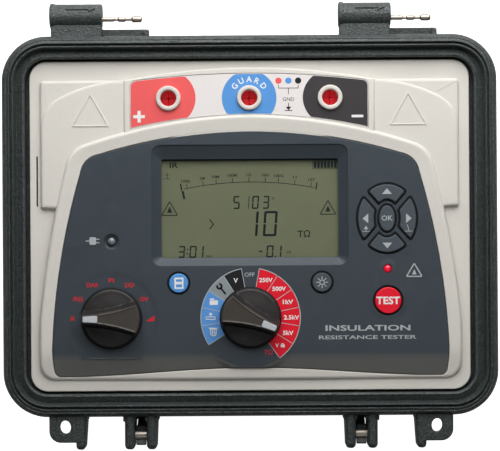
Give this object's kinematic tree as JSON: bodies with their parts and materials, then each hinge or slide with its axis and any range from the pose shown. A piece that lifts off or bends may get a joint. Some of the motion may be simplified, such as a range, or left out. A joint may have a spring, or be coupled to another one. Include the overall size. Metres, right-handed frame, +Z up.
{
  "type": "insulation resistance tester",
  "caption": "Case-mounted high voltage insulation tester: lidless rugged tub, cream panel, slate fascia with display, two rotary selectors, keys and three shrouded terminals.",
  "frame": {"origin": "middle of the footprint, on the plane that the four feet rest on", "axes": "+Z up out of the front panel, +Y towards the lid hinge at the back, +X to the right for a person using the panel"},
  "size_m": [0.315, 0.2844, 0.1399],
  "materials": {
    "case_shell": "textured",
    "cream_panel": "satin",
    "slate_panel": "fine texture",
    "knob_black": "satin",
    "pointer_grey": "satin",
    "black_rubber": "matt",
    "terminal_print": "printed film",
    "collar_white": "satin",
    "socket_red": "gloss",
    "key_red": "satin",
    "key_blue": "satin",
    "lens_clear": "clear",
    "lens_red": "clear",
    "window_glass": "gloss",
    "display_panel": "gloss",
    "circuit_board": "satin",
    "module_black": "matt",
    "battery_wrap": "satin",
    "steel": "plated",
    "brass": "plated"
  },
  "bodies": {
    "instrument": {"battery_pack": "battery_wrap", "case_base": "case_shell", "charger_module": "module_black", "fascia": "slate_panel", "foot_front_left": "black_rubber", "foot_front_right": "black_rubber", "foot_rear_left": "black_rubber", "foot_rear_right": "black_rubber", "front_panel": "cream_panel", "handle_pin_left": "steel", "handle_pin_right": "steel", "high_voltage_led": "lens_red", "high_voltage_module": "module_black", "hinge_pin_left": "steel", "hinge_pin_right": "steel", "keypad_mat": "black_rubber", "lcd_module": "display_panel", "lcd_window": "window_glass", "line_power_led": "lens_clear", "main_board": "circuit_board", "main_switch": "module_black", "mode_switch": "module_black", "panel_gasket": "black_rubber", "panel_screw_front_left": "steel", "panel_screw_front_right": "steel", "panel_screw_rear_left": "steel", "panel_screw_rear_right": "steel", "power_inlet": "module_black", "terminal_collar_guard": "collar_white", "terminal_collar_negative": "collar_white", "terminal_collar_positive": "collar_white", "terminal_contact_guard": "brass", "terminal_contact_negative": "brass", "terminal_contact_positive": "brass", "terminal_insulator_guard": "socket_red", "terminal_insulator_negative": "socket_red", "terminal_insulator_positive": "socket_red", "terminal_label": "terminal_print", "usb_socket": "steel"},
    "handle": {"handle": "case_shell"},
    "main_selector": {"main_knob": "knob_black", "main_knob_pointer": "pointer_grey", "main_shaft": "steel"},
    "mode_selector": {"mode_knob": "knob_black", "mode_knob_pointer": "pointer_grey", "mode_shaft": "steel"},
    "key_up": {"button_up": "slate_panel"},
    "key_down": {"button_down": "slate_panel"},
    "key_left": {"button_left": "slate_panel"},
    "key_right": {"button_right": "slate_panel"},
    "key_ok": {"button_ok": "slate_panel"},
    "key_save": {"save_button": "key_blue"},
    "key_backlight": {"backlight_button": "slate_panel"},
    "key_test": {"test_button": "key_red"}
  },
  "joints": [
    {"name": "handle_fold", "type": "hinge", "parent": "instrument", "child": "handle", "pos_m": [0, -0.1336, 0.1175], "axis": [-1, 0, 0], "range_deg": [0, 100]},
    {"name": "main_selector_turn", "type": "hinge", "parent": "instrument", "child": "main_selector", "pos_m": [0, -0.0586, 0.1259], "axis": [0, 0, 1], "range_deg": [-22.5, 225]},
    {"name": "mode_selector_turn", "type": "hinge", "parent": "instrument", "child": "mode_selector", "pos_m": [-0.0885, -0.0586, 0.1259], "axis": [0, 0, 1], "range_deg": [-180, 0]},
    {"name": "key_up_press", "type": "slide", "parent": "instrument", "child": "key_up", "axis": [0, 0, -1], "range_m": [0, 0.0012]},
    {"name": "key_down_press", "type": "slide", "parent": "instrument", "child": "key_down", "axis": [0, 0, -1], "range_m": [0, 0.0012]},
    {"name": "key_left_press", "type": "slide", "parent": "instrument", "child": "key_left", "axis": [0, 0, -1], "range_m": [0, 0.0012]},
    {"name": "key_right_press", "type": "slide", "parent": "instrument", "child": "key_right", "axis": [0, 0, -1], "range_m": [0, 0.0012]},
    {"name": "key_ok_press", "type": "slide", "parent": "instrument", "child": "key_ok", "axis": [0, 0, -1], "range_m": [0, 0.0012]},
    {"name": "key_save_press", "type": "slide", "parent": "instrument", "child": "key_save", "axis": [0, 0, -1], "range_m": [0, 0.0012]},
    {"name": "key_backlight_press", "type": "slide", "parent": "instrument", "child": "key_backlight", "axis": [0, 0, -1], "range_m": [0, 0.0012]},
    {"name": "key_test_press", "type": "slide", "parent": "instrument", "child": "key_test", "axis": [0, 0, -1], "range_m": [0, 0.0012]}
  ]
}
